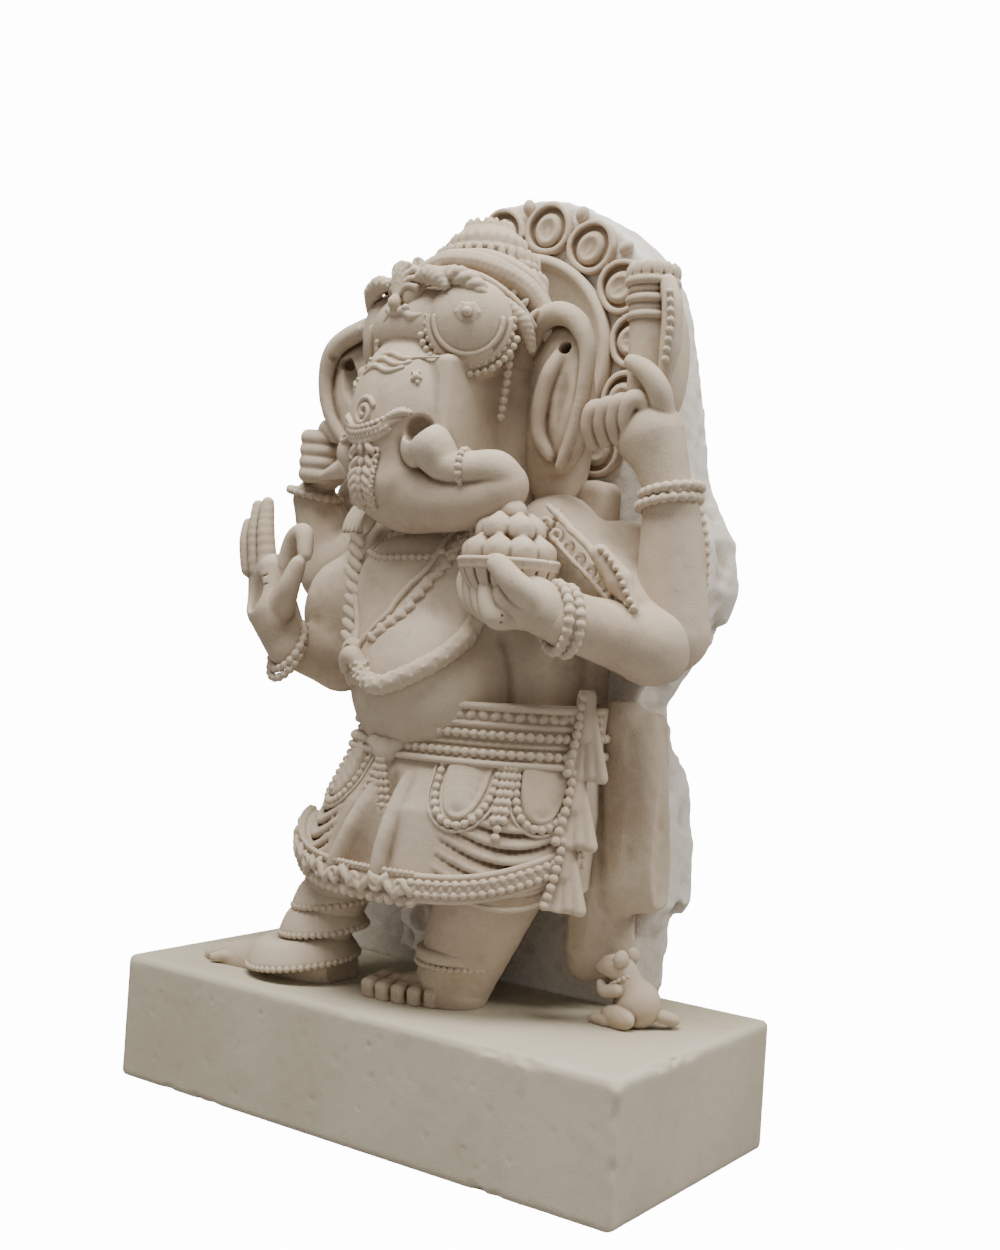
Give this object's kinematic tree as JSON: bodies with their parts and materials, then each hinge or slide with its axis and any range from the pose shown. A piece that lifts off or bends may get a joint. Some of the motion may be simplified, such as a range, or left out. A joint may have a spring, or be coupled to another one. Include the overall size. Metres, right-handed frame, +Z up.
{
  "type": "ganesha idol",
  "caption": "Standing four-armed elephant-headed idol carved in high relief from stone, with a bowl of sweets, a halo slab and a rectangular plinth to stand it on.",
  "frame": {"origin": "middle of the plinth's underside, on the surface it stands on", "axes": "+Z up along the standing figure, -Y out of the front that the figure faces, +X towards the figure's left hand"},
  "size_m": [0.39, 0.192, 0.616],
  "materials": {
    "carved_stone": "matte",
    "rough_stone": "matte"
  },
  "bodies": {
    "root": {"plinth": "rough_stone", "back_slab": "rough_stone", "halo_plate": "carved_stone", "halo_petals": "carved_stone", "slab_bead_cord": "carved_stone", "side_drapery": "carved_stone", "waist_cloth": "carved_stone", "hem_band": "carved_stone", "belt": "carved_stone", "belt_swags": "carved_stone", "hip_sash": "carved_stone", "right_leg": "carved_stone", "left_leg": "carved_stone", "right_foot": "carved_stone", "left_foot": "carved_stone", "right_anklets": "carved_stone", "left_anklet": "carved_stone", "cloth_end": "rough_stone", "belly": "carved_stone", "torso": "carved_stone", "necklace": "carved_stone", "serpent_girdle": "carved_stone", "shoulder_tassels": "carved_stone", "left_upper_arm": "carved_stone", "left_forearm": "carved_stone", "left_hand": "carved_stone", "left_bangle": "carved_stone", "armlet": "carved_stone", "sweet_bowl": "carved_stone", "sweets": "carved_stone", "rear_left_arm": "carved_stone", "rear_left_hand": "carved_stone", "rear_left_bangle": "carved_stone", "emblem": "carved_stone", "right_arm": "carved_stone", "right_hand": "carved_stone", "right_bangle": "carved_stone", "rear_right_arm": "carved_stone", "head": "carved_stone", "trunk": "carved_stone", "trunk_bands": "carved_stone", "right_tusk": "carved_stone", "left_ear": "carved_stone", "right_ear": "carved_stone", "forehead_bosses": "carved_stone", "garland_band": "carved_stone", "crown_tiers": "carved_stone", "crown_finial": "carved_stone", "crown_pendant": "carved_stone", "hair_curls": "carved_stone", "mouse": "carved_stone"}
  },
  "joints": []
}
